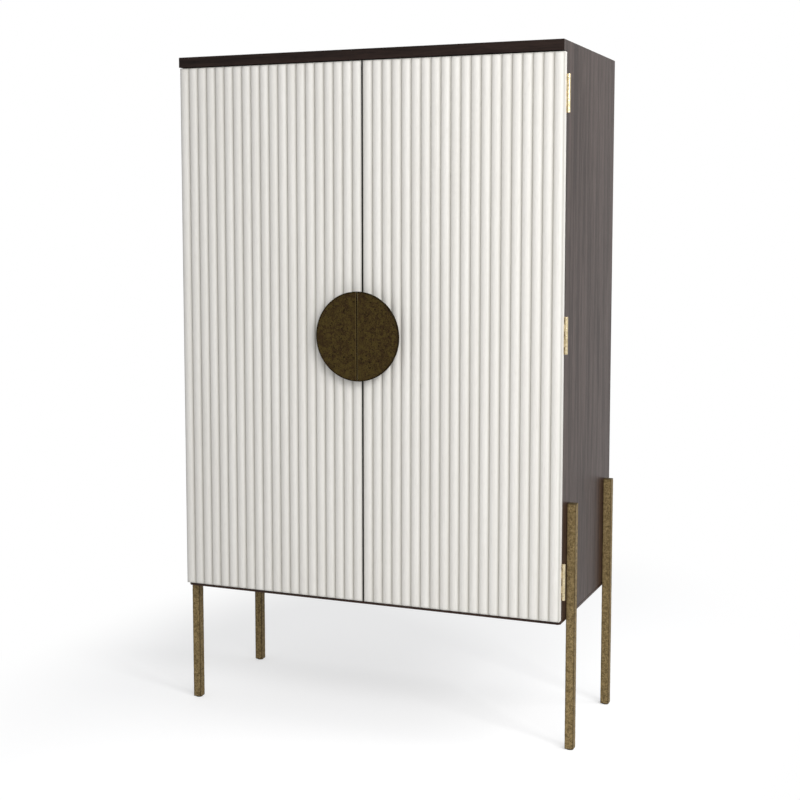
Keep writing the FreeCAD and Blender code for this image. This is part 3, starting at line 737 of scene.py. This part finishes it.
class ARMOIRE_OT_handles(ArmoireTools, bpy.types.Operator):
    """Shape the two half-disc handle plates, and finish them, their posts and the bolts behind the doors"""
    bl_idname = "armoire.handles"
    bl_label = "Handles"

    def execute(self, context):
        sizes, tones = self.sizes, self.finishes
        patina_tones = (tones.bronze, tones.bronze_brown), tones.bronze_dark
        skin = {"scale": 95.0, "metallic": 0.95, "rough": 0.5, "relief": 0.0006}
        bronze = aged_metal("handle_bronze_finish", *patina_tones, **skin, edged=True, worn=tones.bronze_worn)
        post = aged_metal("post_bronze_finish", *patina_tones, **skin)
        steel = steel_finish(tones)
        lo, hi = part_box("handle_right")
        post_lo, post_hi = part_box("handle_posts_right")
        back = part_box("door_core_right")[1].y
        half = (post_hi.x - post_lo.x) / 2
        first_turn, next_turn = 25, 40
        for index, (side, sign) in enumerate(SIDES.items()):
            points, faces, share, worn = half_disc_plate(lo, hi, sizes.handle_slit / 2, sizes.handle_edge,
                                                         sizes.handle_relief, HANDLE_SEED + index)
            put_piece(f"handle_plate_{side}", mirrored(points, sign), faces, f"door_{side}",
                      "handle_bronze", bronze, [f"handle_{side}"], edge_share=share, worn_share=worn)
            finish_node(f"handle_posts_{side}", post)
            head = slotted_head(sizes.bolt_head, base=0.0008, rise=0.0016, sunk=0.0005, facing=(0, 1, 0),
                                turn=radians(first_turn + next_turn * index))
            x = sign * (post_lo.x + half)
            places = [(x, back, z) for z in (post_lo.z + half, post_hi.z - half)]
            put_piece(f"handle_bolts_{side}", *copies(*head, places), f"door_{side}", "steel", steel)
        return {"FINISHED"}


class ARMOIRE_OT_hinges(ArmoireTools, bpy.types.Operator):
    """Finish the hinge leaves and set their slotted screws"""
    bl_idname = "armoire.hinges"
    bl_label = "Hinges"

    def execute(self, context):
        sizes, tones = self.sizes, self.finishes
        brass = aged_metal("hinge_brass_finish", (tones.hinge, tones.hinge_dull), tones.hinge_dull,
                           scale=60.0, metallic=1.0, rough=0.24, relief=0.00005)
        draw = np.random.default_rng(SCREW_SEED)
        for side, sign in SIDES.items():
            leaves = (("frame", -1, "carcass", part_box(f"side_panel_{side}")[0].y),
                      ("door", 1, f"door_{side}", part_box(f"door_core_{side}")[1].y))
            for leaf, facing, body, y in leaves:
                screws = []
                for hinge in HINGES:
                    name = f"{hinge}_hinge_{leaf}_leaf_{side}"
                    finish_node(name, brass)
                    lo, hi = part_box(name)
                    x = sign * (max(abs(lo.x), abs(hi.x)) - sizes.screw_inset)
                    for step in (-1, 0, 1):
                        points, faces = slotted_head(sizes.screw_head, base=0.0001, rise=0.0003, sunk=0.0008,
                                                     facing=(0, facing, 0), turn=draw.uniform(0, pi))
                        place = np.array([x, y, (lo.z + hi.z) / 2 + step * sizes.screw_spacing])
                        screws.append((points + place, faces))
                put_piece(f"{leaf}_leaf_screws_{side}", *joined(screws), body, "hinge_brass", brass)
        return {"FINISHED"}


class ARMOIRE_OT_legs(ArmoireTools, bpy.types.Operator):
    """Shape the four cast bar legs, finish the glides under them and set the bolt caps inside the case"""
    bl_idname = "armoire.legs"
    bl_label = "Legs"

    def execute(self, context):
        sizes, tones = self.sizes, self.finishes
        brass = aged_metal("leg_brass_finish", (tones.brass, tones.brass_dull), tones.brass_dark,
                           scale=150.0, metallic=0.2, rough=0.6, relief=0.0006, edged=True)
        plastic = plastic_finish("glide_plastic", tones)
        finish_node("foot_glides", plastic)
        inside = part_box("floor_panel")[1].x
        places = {side: [] for side in SIDES}
        legs = [(side, end) for side in SIDES for end in ("front", "rear")]
        for index, (side, end) in enumerate(legs):
            name = f"leg_{end}_{side}"
            lo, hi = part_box(name)
            points, faces, share = cast_bar(lo, hi, sizes.leg_edge, sizes.leg_relief, LEG_SEED + index)
            put_piece(f"bar_{name}", points, faces, "carcass", "leg_brass", brass, [name], edge_share=share)
            x, y = SIDES[side] * inside, (lo.y + hi.y) / 2
            places[side] += [(x, y, z) for z in (sizes.cap_low, sizes.cap_high)]
        for side, sign in SIDES.items():
            cap = domed_cap(sizes.cap, rise=0.0022, sunk=0.0004, facing=(-sign, 0, 0))
            put_piece(f"leg_bolt_caps_{side}", *copies(*cap, places[side]), "carcass", "black_plastic",
                      plastic)
        return {"FINISHED"}


class ARMOIRE_OT_catches(ArmoireTools, bpy.types.Operator):
    """Finish the magnetic catches under the top and the strike plates on the doors"""
    bl_idname = "armoire.catches"
    bl_label = "Catches"

    def execute(self, context):
        pole_depth = 0.001
        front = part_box("catch_right")[0].y
        catch = plastic_finish("catch_plastic", self.finishes, poles_at=front + pole_depth)
        steel = steel_finish(self.finishes)
        for side in SIDES:
            finish_node(f"catch_{side}", catch)
            finish_node(f"strike_plate_{side}", steel)
        return {"FINISHED"}


class ARMOIRE_OT_studio(ArmoireTools, bpy.types.Operator):
    """Lay the floor, light the studio and set up the camera"""
    bl_idname = "armoire.studio"
    bl_label = "Studio"

    def execute(self, context):
        studio = context.scene.armoire_studio
        context.scene.view_settings.view_transform = "Standard"
        floor = self.lay_floor(context, studio)
        self.light(context, studio, floor)
        camera = bpy.data.cameras.new("camera")
        camera.lens, camera.shift_y, camera.sensor_width = studio.lens, studio.shift, SENSOR_WIDTH
        stand = bpy.data.objects.new("camera", camera)
        stand.location = studio.stand
        stand.rotation_euler = (pi / 2 + studio.tilt, 0, studio.turn)
        context.scene.collection.objects.link(stand)
        context.scene.camera = stand
        return {"FINISHED"}

    def seen_directly(self, tree):
        """1 for what the camera sees straight on, in a reflection or through glass, and 0 for the light
        that falls."""
        path = node(tree, "LightPath").outputs
        seen = combine(tree, "MAXIMUM", path["Is Camera Ray"], path["Is Glossy Ray"])
        return combine(tree, "MAXIMUM", seen, path["Is Transmission Ray"])

    def lay_floor(self, context, studio):
        """A pale floor that keeps the shadow inside an ellipse about the armoire and goes over into the
        white ground further out."""
        reach, shadow_end, white_from = 9.0, 0.62, 1.15
        ellipse = {"Location": (0.1, -0.12, 0), "Scale": (1, 0.6, 1)}
        corners = [(-reach, -reach, 0), (reach, -reach, 0), (reach, reach, 0), (-reach, reach, 0)]
        mesh = bpy.data.meshes.new("studio_floor")
        mesh.from_pydata(corners, [], [(0, 1, 2, 3)])
        floor = bpy.data.objects.new("studio_floor", mesh)
        context.scene.collection.objects.link(floor)
        material = bpy.data.materials.new("studio_floor")
        material.use_nodes = True
        tree = material.node_tree
        tree.nodes.remove(tree.nodes["Principled BSDF"])
        middle = node(tree, "Mapping", {"Vector": coordinates(tree), **ellipse})
        far = node(tree, "VectorMath", {0: middle.outputs[0]}, operation="LENGTH").outputs[1]
        seen = self.seen_directly(tree)
        matt = node(tree, "BsdfDiffuse", {"Color": opaque(studio.floor)})
        lift = node(tree, "Emission", {"Strength": combine(tree, "MULTIPLY", seen, studio.lift)})
        near = node(tree, "AddShader", {0: matt.outputs[0], 1: lift.outputs[0]})
        ground = node(tree, "Emission", {"Color": (1, 1, 1, 1), "Strength": 1.0})
        share = combine(tree, "MULTIPLY", seen, band(tree, far, shadow_end, white_from))
        cover = node(tree, "MixShader", {0: share, 1: near.outputs[0], 2: ground.outputs[0]})
        tree.links.new(cover.outputs[0], tree.nodes["Material Output"].inputs["Surface"])
        mesh.materials.append(material)
        return floor

    def light(self, context, studio, floor):
        """An even fill from all round, white where it is seen, and three square lamps: a large one in
        front, one at the right, and a small one that lights only the floor and draws the shadow there."""
        world = bpy.data.worlds.new("studio")
        world.use_nodes = True
        context.scene.world = world
        tree = world.node_tree
        tone = mix(tree, self.seen_directly(tree), studio.fill, (1, 1, 1))
        tree.links.new(tone, tree.nodes["Background"].inputs["Color"])
        only_floor = bpy.data.collections.new("only_floor")
        only_floor.objects.link(floor)
        for name, lit in (("key", None), ("side", None), ("floor_lamp", only_floor)):
            light = bpy.data.lights.new(name, "AREA")
            light.shape = "SQUARE"
            light.size, light.energy = getattr(studio, f"{name}_size"), getattr(studio, f"{name}_power")
            lamp = bpy.data.objects.new(name, light)
            lamp.location = getattr(studio, f"{name}_place")
            aim = np.array(studio.lamp_aim) - np.array(lamp.location)
            from_below = np.arccos(-aim[2] / np.linalg.norm(aim))
            lamp.rotation_euler = (from_below, 0, np.arctan2(aim[0], -aim[1]) + pi)
            lamp.light_linking.receiver_collection = lit
            context.scene.collection.objects.link(lamp)


class ARMOIRE_PT_panel(bpy.types.Panel):
    """The armoire's pieces, sizes, finishes and studio"""
    bl_idname = "ARMOIRE_PT_panel"
    bl_label = "Bar armoire"
    bl_space_type = "VIEW_3D"
    bl_region_type = "UI"
    bl_category = "Armoire"

    def draw(self, context):
        for operator in OPERATORS:
            self.layout.operator(operator.bl_idname)
        for group, kind in GROUPS.items():
            box = self.layout.box()
            for label in kind.__annotations__:
                box.prop(getattr(context.scene, group), label)


OPERATORS = (ARMOIRE_OT_boards, ARMOIRE_OT_doors, ARMOIRE_OT_handles, ARMOIRE_OT_hinges, ARMOIRE_OT_legs,
             ARMOIRE_OT_catches, ARMOIRE_OT_studio)
GROUPS = {"armoire_sizes": ArmoireSizes, "armoire_finishes": ArmoireFinishes, "armoire_studio": ArmoireStudio}


def register():
    for group, kind in GROUPS.items():
        bpy.utils.register_class(kind)
        setattr(bpy.types.Scene, group, PointerProperty(type=kind))
    for kind in (*OPERATORS, ARMOIRE_PT_panel):
        bpy.utils.register_class(kind)


def unregister():
    for kind in (ARMOIRE_PT_panel, *reversed(OPERATORS)):
        bpy.utils.unregister_class(kind)
    for group, kind in GROUPS.items():
        delattr(bpy.types.Scene, group)
        bpy.utils.unregister_class(kind)


def main():
    register()
    bpy.ops.armoire.boards()
    bpy.ops.armoire.doors()
    bpy.ops.armoire.handles()
    bpy.ops.armoire.hinges()
    bpy.ops.armoire.legs()
    bpy.ops.armoire.catches()
    bpy.ops.armoire.studio()


if __name__ == "__main__":
    main()
